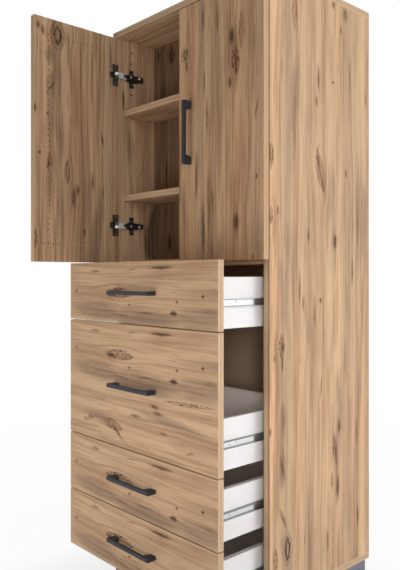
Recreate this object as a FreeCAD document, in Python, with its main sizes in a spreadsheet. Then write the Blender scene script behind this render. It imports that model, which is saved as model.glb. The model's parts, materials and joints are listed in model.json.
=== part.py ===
import FreeCAD, Part
import Sketcher
import os
import sys

# Tall cabinet: two doors over four drawers, on two steel leg frames.
# X runs to the right, Y to the back, Z up. The origin is on the floor, under the
# middle of the carcass. The left door stands open and the drawers are pulled out.

doc = FreeCAD.newDocument("Cabinet")
sheet = doc.addObject("Spreadsheet::Sheet", "Sizes")

sizes = {
    # carcass
    "carcass_width": 600,  # over the side panels
    "carcass_depth": 458,  # with the top and bottom panels' front edges
    "carcass_height": 1549,  # without the legs
    "board": 18,  # carcass boards
    "back_board": 3,  # back panel
    "back_inset": 12,  # back panel's distance from the rear edges
    "groove_depth": 5,  # grooves of back and drawer bottoms
    "groove_play": 0.2,  # all round, in a groove
    "leg_height": 125,
    "leg_tube": 25,
    "leg_wall": 1.5,
    "leg_inset": 6,  # from the carcass's sides and front
    "leg_back_inset": 10,  # from the carcass's back
    "tab_reach": 24,
    "tab_length": 40,
    "tab_thick": 3,
    "glide_thick": 5,
    "glide_plug": 12,  # up the tube's bore
    # shelves and the system holes that their pins sit in
    "shelf_setback": 8,  # behind the side panels' front edges
    "shelf_play": 0.5,
    "compartment_depth": 131,  # side panels' front edges to the board behind the shelves
    "compartment_dowel_end": 120,  # that board's dowels, from the divider's middle and the top panel
    "upper_shelf_top": 1312,  # above the carcass's underside
    "lower_shelf_top": 1050,  # above the carcass's underside
    "hole_pitch": 32,
    "holes_below": 1,  # spare pin holes below a shelf
    "holes_above": 2,  # spare pin holes above a shelf
    "hole_row": 37,  # rows' distance from the panel's edges
    "pin_radius": 2.5,
    "pin_length": 16,
    "pin_depth": 8,
    # fronts
    "front_board": 18,
    "front_gap": 3,  # between fronts, and between fronts and top or bottom
    "side_reveal": 1.5,  # front edge to carcass side
    "door_gap": 2,  # between the fronts and the side panels' edges
    "small_front": 161,  # low drawer fronts; the tall one spans two
    "left_door_angle": 90,  # 0 is shut
    "right_door_angle": 0,  # 0 is shut
    "drawer_pull": 156,  # how far the drawers stand out
    "drawer_travel": 260,  # how far a drawer comes out
    # handles
    "handle_length": 170,
    "handle_width": 10,
    "handle_reach": 27,  # how far it stands out
    "handle_bar": 8,  # thickness of the bar
    "handle_foot": 20,  # length of a foot on the front
    "handle_slope": 5,  # run of the foot's slanted inner side
    "handle_round": 0.8,
    "handle_inset": 43,  # door handle's middle to the door's free edge
    "handle_screw": 2,  # radius
    "handle_head": 4,  # radius
    "handle_head_thick": 2.4,
    "handle_bite": 12,  # screw's length in the handle
    # concealed hinges
    "hinge_end": 114,  # hinge's middle to the door's end
    "pivot_inset": 5,  # pivot to the door's hinge-side edge
    "pivot_depth": 15,  # pivot to the door's inner face
    "cup_inset": 22.5,  # cup's middle to the door's edge
    "cup_radius": 17.5,
    "cup_depth": 11.5,
    "cup_wall": 1.5,
    "cup_slot": 29,  # length of the slot in the cup
    "flange_height": 65,
    "flange_width": 21,
    "flange_thick": 1.5,
    "flange_edge": 5.5,  # flange to the door's edge
    "cup_screw_pitch": 52,
    "plate_setback": 37,  # plate's middle behind the panel's front edge
    "plate_height": 55,
    "plate_wing": 15,
    "plate_thick": 2.5,
    "block_length": 38,
    "block_height": 20,
    "block_thick": 7,
    "plate_screw_pitch": 32,
    "arm_length": 68,
    "arm_width": 15,
    "arm_top": 17,  # arm's top above the side panel
    "arm_nose": 10,
    "arm_slot": 6,
    "arm_slot_depth": 1,
    "arm_slot_start": 8,
    "hinge_pin_x": 13,  # above the side panel
    "hinge_pin_y": 4,  # behind the panel's front edge
    "hinge_pin": 1.8,  # radius
    "eye_radius": 3.5,
    "link_length": 31,  # pin to the middle of the round tip
    "link_width": 17,
    "link_thick": 4,
    "link_tip": 4,  # radius
    "fork_length": 8,  # slot's reach past the pin
    "link_closed_angle": 5,  # to the cabinet's front, door shut
    "link_ratio": 1.18,  # turn of the link for a turn of the door
    # drawer boxes
    "slide_space": 13,  # between side panel and drawer box
    "box_height": 120,
    "box_length": 360,
    "box_board": 12,
    "box_rise": 2,  # box's underside above its front's lower edge
    "box_bottom": 3,
    "bottom_rise": 10,  # drawer bottom above the box's underside
    "dowel_radius": 3,
    "dowel_length": 28,
    "dowel_shallow": 8,  # depth in the board that it enters flat
    "dowel_edge": 25,  # to the box's upper and lower edges
    # ball-bearing slides
    "rail_length": 350,
    "rail_setback": 3,  # behind the side panels' front edges
    "rail_wall": 1.2,
    "outer_rail": 27,  # height of the cabinet's slide member
    "outer_reach": 9,  # its depth
    "rail_lip": 3,  # height of its lips
    "inner_rail": 17,  # height of the drawer's slide member
    "inner_reach": 10,  # its depth
    "ball_radius": 1.6,
    "cage_length": 86,
    "cage_wall": 0.8,
    "cage_play": 0.4,
    "ball_count": 6,  # in a row
    "rail_screw_end": 35,  # screws to the members' ends
    # fasteners and fits
    "screw_radius": 1.75,
    "screw_head": 3.4,
    "screw_head_thick": 1.2,
    "screw_length": 11,
    "hole_play": 0.1,  # round screws and dowels
    "pin_play": 0.05,  # round pins that turn or lift out
    "fork_play": 0.3,  # each side of a part that swings in a slot
    "big_dowel_radius": 4,
    "big_dowel_length": 30,
    "big_dowel_shallow": 10,  # depth in the board that it enters flat
}
for row, (alias, value) in enumerate(sizes.items(), start=1):
    sheet.set(f"A{row}", alias)
    sheet.set(f"B{row}", str(value))
    sheet.setAlias(f"B{row}", alias)
doc.recompute()


def size(alias):
    """Value of a cell, for loops that need a whole number."""
    return sheet.get(alias)


def cell(text):
    """Expression text in which every plain alias is a cell of the sheet."""
    for alias in sorted(sizes, key=len, reverse=True):
        text = text.replace(f"#{alias}", f"Sizes.{alias}")
    return text


# Planes and levels that several pieces share, as expressions on the sheet.
half_width = "(#carcass_width / 2)"
inner_x = "(#carcass_width / 2 - #board)"
front_y = "(-#carcass_depth / 2)"
edge_y = "(-#carcass_depth / 2 + #front_board + #door_gap)"
back_y = "(#carcass_depth / 2)"
back_face_y = "(#carcass_depth / 2 - #back_inset - #back_board - #groove_play)"
compartment_y = f"({edge_y} + #compartment_depth)"
floor_z = "(#leg_height + #board)"
roof_z = "(#leg_height + #carcass_height - #board)"
tall_front = "(2 * #small_front + #front_gap)"
door_bottom_z = f"({floor_z} + 5 * #small_front + 6 * #front_gap)"
door_top_z = f"({roof_z} - #front_gap)"
door_height = f"({door_top_z} - {door_bottom_z})"
door_middle_z = f"(({door_top_z} + {door_bottom_z}) / 2)"
door_width = "(#carcass_width / 2 - #side_reveal - #front_gap / 2)"
divider_z = f"({door_bottom_z} - #front_gap / 2 - #board / 2)"
pivot_x = "(#carcass_width / 2 - #side_reveal - #pivot_inset)"
pivot_y = f"({edge_y} - #door_gap - #pivot_depth)"
box_face_x = "(#carcass_width / 2 - #board - #slide_space)"
rail_y = f"({edge_y} + #rail_setback)"

drawers = [
    # number, expression of the front's lower edge, expression of its height
    (1, f"({floor_z} + 4 * #small_front + 5 * #front_gap)", "#small_front"),
    (2, f"({floor_z} + 2 * #small_front + 3 * #front_gap)", tall_front),
    (3, f"({floor_z} + #small_front + 2 * #front_gap)", "#small_front"),
    (4, f"({floor_z} + #front_gap)", "#small_front"),
]
compartment_dowel_levels = [f"({divider_z} + #board / 2 + #compartment_dowel_end)",
                            f"({roof_z} - #compartment_dowel_end)"]
hinge_levels = [f"({door_bottom_z} + #hinge_end)", f"({door_top_z} - #hinge_end)"]
shelves = [("upper_shelf", "(#leg_height + #upper_shelf_top)"),
           ("lower_shelf", "(#leg_height + #lower_shelf_top)")]
sides = [("left", -1), ("right", 1)]

towards = {
    # yaw; pitch; roll that turn a piece's own +Z to a direction
    "+x": "0; 90; 0", "-x": "0; -90; 0", "+y": "0; 0; -90", "-y": "0; 0; 90",
    "+z": "0; 0; 0", "-z": "0; 180; 0",
}
nodes = []


def place(item, x, y, z, turn="0; 0; 0"):
    item.setExpression("Placement", cell(f"placement(vector({x}; {y}; {z}); rotation({turn}))"))


def add_box(name, x, y, z, length, width, height):
    box = doc.addObject("Part::Box", name)
    box.setExpression("Length", cell(length))
    box.setExpression("Width", cell(width))
    box.setExpression("Height", cell(height))
    place(box, x, y, z)
    return box


def add_cylinder(name, radius, height, x="0", y="0", z="0", turn="0; 0; 0"):
    cylinder = doc.addObject("Part::Cylinder", name)
    cylinder.setExpression("Radius", cell(radius))
    cylinder.setExpression("Height", cell(height))
    place(cylinder, x, y, z, turn)
    return cylinder


def add_cone(name, low_radius, high_radius, height):
    cone = doc.addObject("Part::Cone", name)
    cone.setExpression("Radius1", cell(low_radius))
    cone.setExpression("Radius2", cell(high_radius))
    cone.setExpression("Height", cell(height))
    return cone


def group(name, items):
    compound = doc.addObject("Part::Compound", name)
    compound.Links = items
    return compound


def fuse(name, items):
    fusion = doc.addObject("Part::MultiFuse", name)
    fusion.Shapes = items
    return fusion


def cut(name, base, tools):
    tool = tools[0] if len(tools) == 1 else group(f"{name}_tools", tools)
    difference = doc.addObject("Part::Cut", name)
    difference.Base = base
    difference.Tool = tool
    return difference


def copy_of(master, name, x, y, z, turn="0; 0; 0"):
    """Another one of a piece that is made once, at a place of its own."""
    compound = group(name, [master])
    place(compound, x, y, z, turn)
    return compound


def node(item, label):
    item.Label = label
    nodes.append(item)
    return item


def sided_x(side, low, width):
    """Lower X of a box that lies from low to low + width on the right, or mirrored on the left."""
    return f"({low})" if side > 0 else f"(-({low}) - ({width}))"


def add_body(name):
    body = doc.addObject("PartDesign::Body", name)
    return body


def add_sketch(body, name, role):
    sketch = body.newObject("Sketcher::SketchObject", name)
    planes = [item for item in body.Origin.OriginFeatures if item.Role == role]
    sketch.AttachmentSupport = (planes[0], [""])
    sketch.MapMode = "FlatFace"
    return sketch


def add_outline(sketch, points):
    """Closed outline of straight lines; each point's distances from the origin are bound."""
    count = len(points)
    start = sketch.GeometryCount
    numbers = [(doc_value(x), doc_value(y)) for x, y in points]
    for index in range(count):
        here = FreeCAD.Vector(numbers[index][0], numbers[index][1], 0)
        there = FreeCAD.Vector(*numbers[(index + 1) % count], 0)
        sketch.addGeometry(Part.LineSegment(here, there), False)
    for index in range(count):
        after = (index + 1) % count
        sketch.addConstraint(Sketcher.Constraint("Coincident", start + index, 2, start + after, 1))
    for index, (x, y) in enumerate(points):
        for kind, text, number in (("DistanceX", x, numbers[index][0]), ("DistanceY", y, numbers[index][1])):
            if number == 0:
                onto = -2 if kind == "DistanceX" else -1
                sketch.addConstraint(Sketcher.Constraint("PointOnObject", start + index, 1, onto))
                continue
            place_in = sketch.addConstraint(Sketcher.Constraint(kind, -1, 1, start + index, 1, number))
            sketch.setExpression(f"Constraints[{place_in}]", cell(text))


def doc_value(text):
    """Present value of an expression on the sheet."""
    return float(FreeCAD.Units.Quantity(sheet.evalExpression(cell(text))).Value)


def add_pad(body, sketch, name, length, midplane=False):
    pad = body.newObject("PartDesign::Pad", name)
    pad.Profile = sketch
    pad.setExpression("Length", cell(length))
    pad.SideType = "Symmetric" if midplane else "One side"
    body.Tip = pad
    return pad


# Masters: small pieces that are made once and then placed many times.

def make_screw(name, head_thick, head_radius, shank_radius, length, countersunk):
    """Screw that points along +Z, with the top of its head at the origin."""
    if countersunk:
        head = add_cone(f"{name}_head", head_radius, shank_radius, head_thick)
    else:
        head = add_cylinder(f"{name}_head", head_radius, head_thick)
    shank = add_cylinder(f"{name}_shank", shank_radius, f"{length} - {head_thick}", z=head_thick)
    return fuse(name, [head, shank])


wood_screw = make_screw("wood_screw", "#screw_head_thick", "#screw_head", "#screw_radius",
                        "#screw_length", True)
wood_hole = add_cylinder("wood_hole", "#screw_radius + #hole_play", "#screw_length + #hole_play")
sink_hole = fuse("sink_hole", [
    add_cone("sink_cone", "#screw_head + #hole_play", "#screw_radius + #hole_play", "#screw_head_thick"),
    add_cylinder("sink_bore", "#screw_radius + #hole_play", "2 * #screw_head_thick"),
])
handle_screw = make_screw("handle_screw", "#handle_head_thick", "#handle_head", "#handle_screw",
                          "#handle_head_thick + #front_board + #handle_bite", False)
handle_hole = add_cylinder("handle_hole", "#handle_screw + #hole_play", "#front_board + #handle_bite + 1")
small_dowel = add_cylinder("small_dowel", "#dowel_radius", "#dowel_length")
big_dowel = add_cylinder("big_dowel", "#big_dowel_radius", "#big_dowel_length")
shelf_pin = add_cylinder("shelf_pin", "#pin_radius", "#pin_length")
system_hole = add_cylinder("system_hole", "#pin_radius + #pin_play", "#pin_depth + #hole_play")


def dowel_hole(name, master, depth):
    """Blind hole for a dowel, a little wider and deeper than the dowel goes in."""
    radius = "#dowel_radius" if master == small_dowel else "#big_dowel_radius"
    return add_cylinder(name, f"{radius} + #hole_play", f"{depth} + #hole_play")


shallow_hole = dowel_hole("shallow_hole", small_dowel, "#dowel_shallow")
deep_hole = dowel_hole("deep_hole", small_dowel, "#dowel_length - #dowel_shallow")
big_shallow_hole = dowel_hole("big_shallow_hole", big_dowel, "#big_dowel_shallow")
big_deep_hole = dowel_hole("big_deep_hole", big_dowel, "#big_dowel_length - #big_dowel_shallow")


def make_handle():
    """Bar handle: its back on the plane y = 0, the bar at y = handle_reach, lengthwise along X."""
    body = add_body("handle_body")
    sketch = add_sketch(body, "handle_outline", "XY_Plane")
    add_outline(sketch, [
        ("-#handle_length / 2", "0"),
        ("-#handle_length / 2 + #handle_foot", "0"),
        ("-#handle_length / 2 + #handle_foot + #handle_slope", "#handle_reach - #handle_bar"),
        ("#handle_length / 2 - #handle_foot - #handle_slope", "#handle_reach - #handle_bar"),
        ("#handle_length / 2 - #handle_foot", "0"),
        ("#handle_length / 2", "0"),
        ("#handle_length / 2", "#handle_reach"),
        ("-#handle_length / 2", "#handle_reach"),
    ])
    pad = add_pad(body, sketch, "handle_pad", "#handle_width", midplane=True)
    doc.recompute()
    fillet = body.newObject("PartDesign::Fillet", "handle_fillet")
    seat_free = []
    for index, edge in enumerate(pad.Shape.Edges, start=1):
        if max(vertex.Point.y for vertex in edge.Vertexes) > 1e-6:
            seat_free.append(f"Edge{index}")
    fillet.Base = (pad, seat_free)
    fillet.setExpression("Radius", cell("#handle_round"))
    body.Tip = fillet
    doc.recompute()
    bores = []
    for end in (-1, 1):
        x = f"{end} * (#handle_length - #handle_foot) / 2"
        bores.append(add_cylinder(f"handle_bore_{end + 1}", "#handle_screw + #hole_play",
                                  "#handle_bite + #hole_play", x=x, turn=towards["+y"]))
    return cut("handle", body, bores)


handle = make_handle()


def handle_screw_offsets():
    return [f"{end} * (#handle_length - #handle_foot) / 2" for end in (-1, 1)]


def make_rail(name, height, wall_x, reach, lip):
    """Slide member along +Y from the origin, its web on the plane x = 0, its channel open towards +X."""
    body = add_body(f"{name}_body")
    sketch = add_sketch(body, f"{name}_outline", "XZ_Plane")
    half = f"{height} / 2"
    inside = f"{height} / 2 - #rail_wall"
    outline = [("0", f"-{half}"), (reach, f"-{half}")]
    if lip:
        outline += [(reach, f"-{half} + {lip}"), (f"{reach} - #rail_wall", f"-{half} + {lip}"),
                    (f"{reach} - #rail_wall", f"-({inside})")]
    else:
        outline += [(reach, f"-({inside})")]
    outline += [(wall_x, f"-({inside})")]
    mirrored = [(x, f"-({z})") for x, z in reversed(outline)]
    add_outline(sketch, outline + mirrored)
    pad = add_pad(body, sketch, f"{name}_pad", "#rail_length")
    pad.Reversed = True
    doc.recompute()
    holes = []
    for end, y in enumerate(("#rail_screw_end", "#rail_length - #rail_screw_end")):
        holes.append(copy_of(sink_hole, f"{name}_hole_{end}", "#rail_wall", y, "0", towards["-x"]))
    return cut(name, body, holes)


outer_rail = make_rail("outer_rail", "#outer_rail", "#rail_wall", "#outer_reach", "#rail_lip")
inner_rail = make_rail("inner_rail", "#inner_rail", "#rail_wall", "#inner_reach", None)


def make_cage():
    """Ball cage along +Y from the origin, in the frame of the outer rail, with its two rows of balls."""
    ball_z = "((#outer_rail / 2 - #rail_wall + #inner_rail / 2) / 2)"
    web_x = "(#rail_wall + #cage_play)"
    strip_x = "(#outer_reach - #rail_wall - #cage_play)"
    parts = [add_box("cage_web", web_x, "0", f"-({ball_z} + #cage_wall / 2)",
                     "#cage_wall", "#cage_length", f"2 * {ball_z} + #cage_wall")]
    for row in (-1, 1):
        parts.append(add_box(f"cage_strip_{row + 1}", web_x, "0", f"{row} * {ball_z} - #cage_wall / 2",
                             f"{strip_x} - {web_x}", "#cage_length", "#cage_wall"))
    ball_x = f"(({web_x} + #cage_wall + {strip_x}) / 2)"
    pockets = []
    balls = []
    count = int(size("ball_count"))
    for row in (-1, 1):
        for number in range(count):
            y = f"#cage_length * {number + 0.5} / #ball_count"
            pockets.append(add_cylinder(f"pocket_{row + 1}_{number}", "#ball_radius + #hole_play",
                                        "4 * #cage_wall", ball_x, y, f"{row} * {ball_z} - 2 * #cage_wall"))
            ball = doc.addObject("Part::Sphere", f"ball_{row + 1}_{number}")
            ball.setExpression("Radius", cell("#ball_radius"))
            place(ball, ball_x, y, f"{row} * {ball_z}")
            balls.append(ball)
    cage = cut("cage", fuse("cage_blank", parts), pockets)
    return group("cage_and_balls", [cage] + balls)


cage_and_balls = make_cage()


# Concealed hinge. Its frame has the origin on the side panel's inner face, level with the panel's
# front edge, with X into the cabinet and Y to the back.

def make_hinge_plate():
    """Cross-shaped mounting plate with a raised block that carries the arm."""
    wings = add_box("plate_wings", "0", "#plate_setback - #plate_wing / 2", "-#plate_height / 2",
                    "#plate_thick", "#plate_wing", "#plate_height")
    block = add_box("plate_block", "0", "#plate_setback - #block_length / 2", "-#block_height / 2",
                    "#block_thick", "#block_length", "#block_height")
    holes = []
    for end in (-1, 1):
        z = f"{end} * #plate_screw_pitch / 2"
        holes.append(copy_of(sink_hole, f"plate_hole_{end + 1}", "#plate_thick", "#plate_setback", z,
                             towards["-x"]))
        holes.append(add_cylinder(f"plate_bore_{end + 1}", "#screw_radius + #hole_play", "#plate_thick",
                                  y="#plate_setback", z=z, turn=towards["+x"]))
    return cut("hinge_plate", fuse("plate_blank", [wings, block]), holes)


def make_hinge_arm():
    """Arm on the plate's block, with a narrow nose that holds the link's pin."""
    nose_end = "(#hinge_pin_y + #eye_radius + #link_thick)"
    main = add_box("arm_main", "#block_thick", nose_end, "-#arm_width / 2", "#arm_top - #block_thick",
                   f"#arm_length + #hinge_pin_y - {nose_end}", "#arm_width")
    slot = add_box("arm_slot", "#arm_top - #arm_slot_depth", f"{nose_end} + #arm_slot_start",
                   "-#arm_slot / 2", "2 * #arm_slot_depth", "#arm_length / 2", "#arm_slot")
    nose = add_box("arm_nose", "#hinge_pin_x - #eye_radius", "#hinge_pin_y", "-#arm_nose / 2",
                   "2 * #eye_radius", f"{nose_end} - #hinge_pin_y", "#arm_nose")
    eye = add_cylinder("arm_eye", "#eye_radius", "#arm_nose", "#hinge_pin_x", "#hinge_pin_y",
                       "-#arm_nose / 2")
    bore = add_cylinder("arm_bore", "#hinge_pin + #pin_play", "#link_width", "#hinge_pin_x",
                        "#hinge_pin_y", "-#link_width / 2")
    arm = cut("hinge_arm", fuse("arm_blank", [main, nose, eye]), [slot, bore])
    pin = add_cylinder("hinge_pin", "#hinge_pin", "#link_width", "#hinge_pin_x", "#hinge_pin_y",
                       "-#link_width / 2")
    return group("arm_and_pin", [arm, pin])


def make_hinge_link():
    """Forked link along +X from its pin at the origin, with a round tip that dips into the cup's slot.
    Its bar lies on the +Y side of the line from pin to tip, clear of the cup's flange."""
    bar = add_box("link_bar", "0", "0", "-#link_width / 2", "#link_length", "#link_thick", "#link_width")
    tip = add_cylinder("link_tip", "#link_tip", "#link_width", "#link_length", "0", "-#link_width / 2")
    eye = add_cylinder("link_eye", "#eye_radius", "#link_width", z="-#link_width / 2")
    reach = "(#eye_radius + #link_thick)"
    slot = add_box("link_slot", f"-{reach}", f"-{reach}", "-#arm_nose / 2 - #fork_play",
                   f"{reach} + #fork_length", f"2 * {reach}", "#arm_nose + 2 * #fork_play")
    bore = add_cylinder("link_bore", "#hinge_pin + #pin_play", "#link_width", z="-#link_width / 2")
    return cut("hinge_link", fuse("link_blank", [bar, tip, eye]), [slot, bore])


def make_hinge_cup():
    """Cup with its mouth on the plane y = 0, sunk towards -Y, and a flange above the mouth.
    The door's near edge is at x = -cup_inset. The link's tip runs between the slot's two cheeks."""
    pot = add_cylinder("cup_pot", "#cup_radius", "#cup_depth", turn=towards["-y"])
    flange = add_box("cup_flange", "-#cup_inset + #flange_edge", "0", "-#flange_height / 2",
                     "#flange_width", "#flange_thick", "#flange_height")
    rim = add_cylinder("cup_rim", "#cup_radius + #cup_wall", "#flange_thick", turn=towards["+y"])
    trim = add_box("cup_trim", "-#cup_inset", "0", "-#flange_height / 2", "#flange_edge", "#flange_thick",
                   "#flange_height")
    plate = cut("cup_plate", fuse("cup_plate_blank", [flange, rim]), [trim])
    slot_width = "(#link_width + 2 * #fork_play)"
    cutters = [add_box("cup_slot", "-#cup_slot / 2", "-#cup_depth + #cup_wall", f"-{slot_width} / 2",
                       "#cup_slot", "#cup_depth - #cup_wall + #flange_thick", slot_width)]
    for end in (-1, 1):
        cutters.append(copy_of(sink_hole, f"cup_hole_{end + 1}", cup_screw_x, "#flange_thick",
                               f"{end} * #cup_screw_pitch / 2", towards["-y"]))
    return cut("hinge_cup", fuse("cup_blank", [pot, plate]), cutters)


cup_screw_x = "(-#cup_inset + #flange_edge + #flange_width / 2)"
hinge_plate = make_hinge_plate()
arm_and_pin = make_hinge_arm()
hinge_link = make_hinge_link()
hinge_cup = make_hinge_cup()


# Carcass

def rail_levels():
    """Middle height of each drawer's slides."""
    return [f"({bottom} + #box_rise + #box_height / 2)" for _, bottom, _ in drawers]


def make_side_panel(name, side):
    panel = add_box(f"{name}_blank", sided_x(side, inner_x, "#board"), edge_y, floor_z,
                    "#board", f"{back_y} - {edge_y}", f"{roof_z} - {floor_z}")
    inward = towards["+x"] if side > 0 else towards["-x"]
    face = f"{side} * {inner_x}"
    tools = [add_box(f"{name}_groove", sided_x(side, inner_x, "#groove_depth"),
                     back_face_y, floor_z, "#groove_depth",
                     "#back_board + 2 * #groove_play", f"{roof_z} - {floor_z}")]
    holes = [(y, z, system_hole) for y, z in system_places()]
    for z in rail_levels():
        for y in ("#rail_screw_end", "#rail_length - #rail_screw_end"):
            holes.append((f"{rail_y} + {y}", z, wood_hole))
    for z in hinge_levels:
        for end in (-1, 1):
            holes.append((f"{edge_y} + #plate_setback", f"{z} + {end} * #plate_screw_pitch / 2", wood_hole))
    for y in dowel_places():
        holes.append((y, f"{divider_z} + #board / 2", big_shallow_hole))
    for z in compartment_dowel_levels:
        holes.append((f"{compartment_y} + #board / 2", z, big_shallow_hole))
    for number, (y, z, master) in enumerate(holes):
        tools.append(copy_of(master, f"{name}_hole_{number}", face, y, z, inward))
    for number, y in enumerate(dowel_places()):
        x = f"{side} * ({inner_x} + #board / 2)"
        tools.append(copy_of(big_deep_hole, f"{name}_low_{number}", x, y, floor_z, towards["+z"]))
        tools.append(copy_of(big_deep_hole, f"{name}_high_{number}", x, y, roof_z, towards["-z"]))
    node(cut(name, panel, tools), name)


def hole_rows():
    """Front and back row of the system holes."""
    return [f"({edge_y} + #hole_row)", f"({compartment_y} - #hole_row)"]


def pin_level(top):
    """Height of the pins just under a shelf with this top."""
    return f"({top} - #board - #pin_play - #pin_radius)"


def system_places():
    """Each shelf's own pin holes, with spare ones below and above at one pitch."""
    places = []
    for _, top in shelves:
        for step in range(-int(size("holes_below")), int(size("holes_above")) + 1):
            for y in hole_rows():
                places.append((y, f"({pin_level(top)} + {step} * #hole_pitch)"))
    return places


def dowel_places():
    return [f"({edge_y} + 2 * #hole_row)", f"({back_face_y} - 2 * #hole_row)"]


def make_panels():
    for name, z, groove_z in (("bottom_panel", "#leg_height", f"({floor_z} - #groove_depth)"),
                              ("top_panel", roof_z, roof_z)):
        blank = add_box(f"{name}_blank", f"-{half_width}", front_y, z, "#carcass_width", "#carcass_depth",
                        "#board")
        tools = [add_box(f"{name}_groove", f"-{inner_x} - #groove_depth", back_face_y, groove_z,
                         f"2 * {inner_x} + 2 * #groove_depth", "#back_board + 2 * #groove_play",
                         "#groove_depth")]
        joint_z, turn = (floor_z, towards["-z"]) if name == "bottom_panel" else (roof_z, towards["+z"])
        for side_name, side in sides:
            for number, y in enumerate(dowel_places()):
                tools.append(copy_of(big_shallow_hole, f"{name}_{side_name}_{number}",
                                     f"{side} * ({inner_x} + #board / 2)", y, joint_z, turn))
        if name == "bottom_panel":
            for number, (x, y) in enumerate(leg_screw_places()):
                tools.append(copy_of(wood_hole, f"leg_hole_{number}", x, y, "#leg_height", towards["+z"]))
        node(cut(name, blank, tools), name)

    blank = add_box("divider_blank", f"-{inner_x}", f"{edge_y} + #shelf_setback", divider_z,
                    f"2 * {inner_x}", f"{back_face_y} - {edge_y} - #shelf_setback", "#board")
    tools = []
    for side_name, side in sides:
        for number, y in enumerate(dowel_places()):
            inward = towards["-x"] if side > 0 else towards["+x"]
            tools.append(copy_of(big_deep_hole, f"divider_{side_name}_{number}", f"{side} * {inner_x}", y,
                                 f"{divider_z} + #board / 2", inward))
    node(cut("divider_panel", blank, tools), "divider_panel")

    node(add_box("back_panel", f"-{inner_x} - #groove_depth + #groove_play",
                 f"{back_face_y} + #groove_play", f"{floor_z} - #groove_depth + #groove_play",
                 f"2 * ({inner_x} + #groove_depth - #groove_play)", "#back_board",
                 f"{roof_z} - {floor_z} + 2 * (#groove_depth - #groove_play)"), "back_panel")

    for name, top in shelves:
        node(add_box(name, f"-{inner_x} + #shelf_play", f"{edge_y} + #shelf_setback", f"{top} - #board",
                     f"2 * ({inner_x} - #shelf_play)",
                     "#compartment_depth - #shelf_setback - #shelf_play", "#board"), name)


def make_compartment_back():
    """Upright board behind the shelves, dowelled to both side panels."""
    blank = add_box("compartment_back_blank", f"-{inner_x}", compartment_y, f"({divider_z} + #board)",
                    f"2 * {inner_x}", "#board", f"{roof_z} - {divider_z} - #board")
    tools = []
    for side_name, side in sides:
        inward = towards["-x"] if side > 0 else towards["+x"]
        for number, z in enumerate(compartment_dowel_levels):
            tools.append(copy_of(big_deep_hole, f"compartment_back_{side_name}_{number}",
                                 f"{side} * {inner_x}", f"{compartment_y} + #board / 2", z, inward))
    node(cut("compartment_back", blank, tools), "compartment_back")


def make_shelf_pins():
    pins = []
    for name, top in shelves:
        for side_name, side in sides:
            turn = towards["-x"] if side > 0 else towards["+x"]
            for number, y in enumerate(hole_rows()):
                pins.append(copy_of(shelf_pin, f"{name}_pin_{side_name}_{number}",
                                    f"{side} * ({inner_x} + #pin_depth)", y, pin_level(top), turn))
    node(group("shelf_pins", pins), "shelf_pins")


def make_panel_dowels():
    dowels = []
    for side_name, side in sides:
        x = f"{side} * ({inner_x} + #board / 2)"
        outward = towards["+x"] if side > 0 else towards["-x"]
        for number, y in enumerate(dowel_places()):
            dowels.append(copy_of(big_dowel, f"low_dowel_{side_name}_{number}", x, y,
                                  f"{floor_z} - #big_dowel_shallow"))
            dowels.append(copy_of(big_dowel, f"high_dowel_{side_name}_{number}", x, y,
                                  f"{roof_z} + #big_dowel_shallow", towards["-z"]))
            dowels.append(copy_of(big_dowel, f"divider_dowel_{side_name}_{number}",
                                  f"{side} * ({inner_x} + #big_dowel_shallow - #big_dowel_length)", y,
                                  f"{divider_z} + #board / 2", outward))
        for number, z in enumerate(compartment_dowel_levels):
            dowels.append(copy_of(big_dowel, f"compartment_dowel_{side_name}_{number}",
                                  f"{side} * ({inner_x} + #big_dowel_shallow - #big_dowel_length)",
                                  f"{compartment_y} + #board / 2", z, outward))
    node(group("panel_dowels", dowels), "panel_dowels")


def leg_outer_x():
    return f"({half_width} - #leg_inset)"


leg_front_y = f"({front_y} + #leg_inset)"
leg_back_y = f"({back_y} - #leg_back_inset)"


def tab_places():
    """Front and back fixing tab of a leg frame, by their lower Y."""
    return [f"({leg_front_y} + 2 * #leg_tube)", f"({leg_back_y} - 2 * #leg_tube - #tab_length)"]


def leg_screw_places():
    places = []
    for _, side in sides:
        for y in tab_places():
            places.append((f"{side} * ({leg_outer_x()} - #leg_tube - #tab_reach / 2)",
                           f"{y} + #tab_length / 2"))
    return places


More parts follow.
